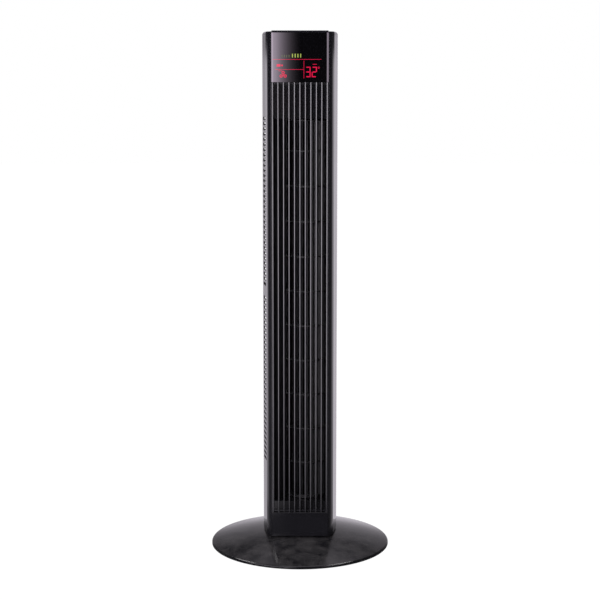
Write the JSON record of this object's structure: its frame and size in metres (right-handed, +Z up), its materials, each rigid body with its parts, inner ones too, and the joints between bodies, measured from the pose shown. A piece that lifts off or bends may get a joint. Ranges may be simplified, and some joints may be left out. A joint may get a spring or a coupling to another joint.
{
  "type": "tower fan",
  "caption": "Slim upright tower fan on a round dished base, with a slatted front outlet, side intake slots, a lit display and a swinging body.",
  "frame": {"origin": "centre of the round base, on the floor", "axes": "+Z up along the pivot axis, the front faces -Y, +X to the right seen from the front"},
  "size_m": [0.316, 0.316, 0.91],
  "materials": {
    "steel_plate": "black powder coat",
    "black_gloss": "high gloss",
    "black_satin": "satin",
    "grille_black": "satin gloss",
    "impeller_black": "satin",
    "display_glass": "high gloss",
    "button_black": "satin gloss",
    "display_red": "lit",
    "display_green": "lit",
    "display_dim": "unlit",
    "rubber": "matt",
    "white_nylon": "satin",
    "screw_steel": "zinc plated",
    "spindle_aluminium": "turned",
    "motor_steel": "zinc plated",
    "bronze_bush": "sintered",
    "circuit_board": "solder mask"
  },
  "bodies": {
    "base": {"base_plate": "steel_plate", "base_cover": "black_gloss", "rubber_feet": "rubber", "base_screws": "screw_steel", "pivot_spindle": "spindle_aluminium", "spindle_screws": "screw_steel", "thrust_washer": "black_satin", "swing_ring_gear": "white_nylon", "spindle_nut": "screw_steel"},
    "tower": {"tower_floor": "black_satin", "swivel_bush": "white_nylon", "rear_housing": "black_gloss", "front_frame": "black_gloss", "front_grille": "grille_black", "chin_panel": "black_gloss", "top_cap": "black_gloss", "display_lens": "display_glass", "display_board": "circuit_board", "display_module": "black_satin", "display_digits": "display_red", "display_rules": "display_red", "display_dim_bars": "display_dim", "display_lit_bars": "display_green", "display_fan_icon": "display_red", "control_board": "circuit_board", "button_switches": "black_satin", "control_board_screws": "screw_steel", "main_board": "circuit_board", "main_board_parts": "black_satin", "main_board_screws": "screw_steel", "duct_top": "black_satin", "upper_bearing": "bronze_bush", "scroll_wall": "black_satin", "stabiliser": "black_satin", "motor_deck": "black_satin", "motor_can": "motor_steel", "motor_cap": "motor_steel", "motor_stator": "motor_steel", "motor_dampers": "rubber", "motor_screws": "screw_steel", "swing_motor": "motor_steel", "swing_motor_screws": "screw_steel", "rear_screws": "screw_steel", "cord_gland": "rubber"},
    "impeller": {"impeller_drum": "impeller_black", "impeller_lower_hub": "impeller_black", "coupling_screw": "screw_steel", "impeller_top_disc": "impeller_black", "impeller_top_shaft": "motor_steel", "motor_rotor": "motor_steel", "motor_shaft": "motor_steel"},
    "swing_pinion": {"swing_pinion": "white_nylon", "swing_motor_shaft": "motor_steel"},
    "power_button": {"power_button": "button_black"},
    "speed_button": {"speed_button": "button_black"},
    "mode_button": {"mode_button": "button_black"},
    "timer_button": {"timer_button": "button_black"},
    "swing_button": {"swing_button": "button_black"}
  },
  "joints": [
    {"name": "tower_swing", "type": "hinge", "parent": "base", "child": "tower", "pos_m": [0, 0, 0.03], "axis": [0, 0, 1], "range_deg": [-35, 35]},
    {"name": "impeller_spin", "type": "hinge", "parent": "tower", "child": "impeller", "pos_m": [0.012, 0.006, 0.43], "axis": [0, 0, 1], "continuous": true},
    {"name": "swing_pinion_turn", "type": "hinge", "parent": "tower", "child": "swing_pinion", "pos_m": [-0.03285, 0.023, 0.043], "axis": [0, 0, 1], "range_deg": [-110, 110]},
    {"name": "power_button_press", "type": "slide", "parent": "tower", "child": "power_button", "axis": [0, 0, -1], "range_m": [0, 0.0012], "stiffness_N_per_m": 250, "springref_m": -0.0006},
    {"name": "speed_button_press", "type": "slide", "parent": "tower", "child": "speed_button", "axis": [0, 0, -1], "range_m": [0, 0.0012], "stiffness_N_per_m": 250, "springref_m": -0.0006},
    {"name": "mode_button_press", "type": "slide", "parent": "tower", "child": "mode_button", "axis": [0, 0, -1], "range_m": [0, 0.0012], "stiffness_N_per_m": 250, "springref_m": -0.0006},
    {"name": "timer_button_press", "type": "slide", "parent": "tower", "child": "timer_button", "axis": [0, 0, -1], "range_m": [0, 0.0012], "stiffness_N_per_m": 250, "springref_m": -0.0006},
    {"name": "swing_button_press", "type": "slide", "parent": "tower", "child": "swing_button", "axis": [0, 0, -1], "range_m": [0, 0.0012], "stiffness_N_per_m": 250, "springref_m": -0.0006}
  ],
  "couplings": [
    {"joint": "swing_pinion_turn", "follows": "tower_swing", "ratio": 3}
  ]
}
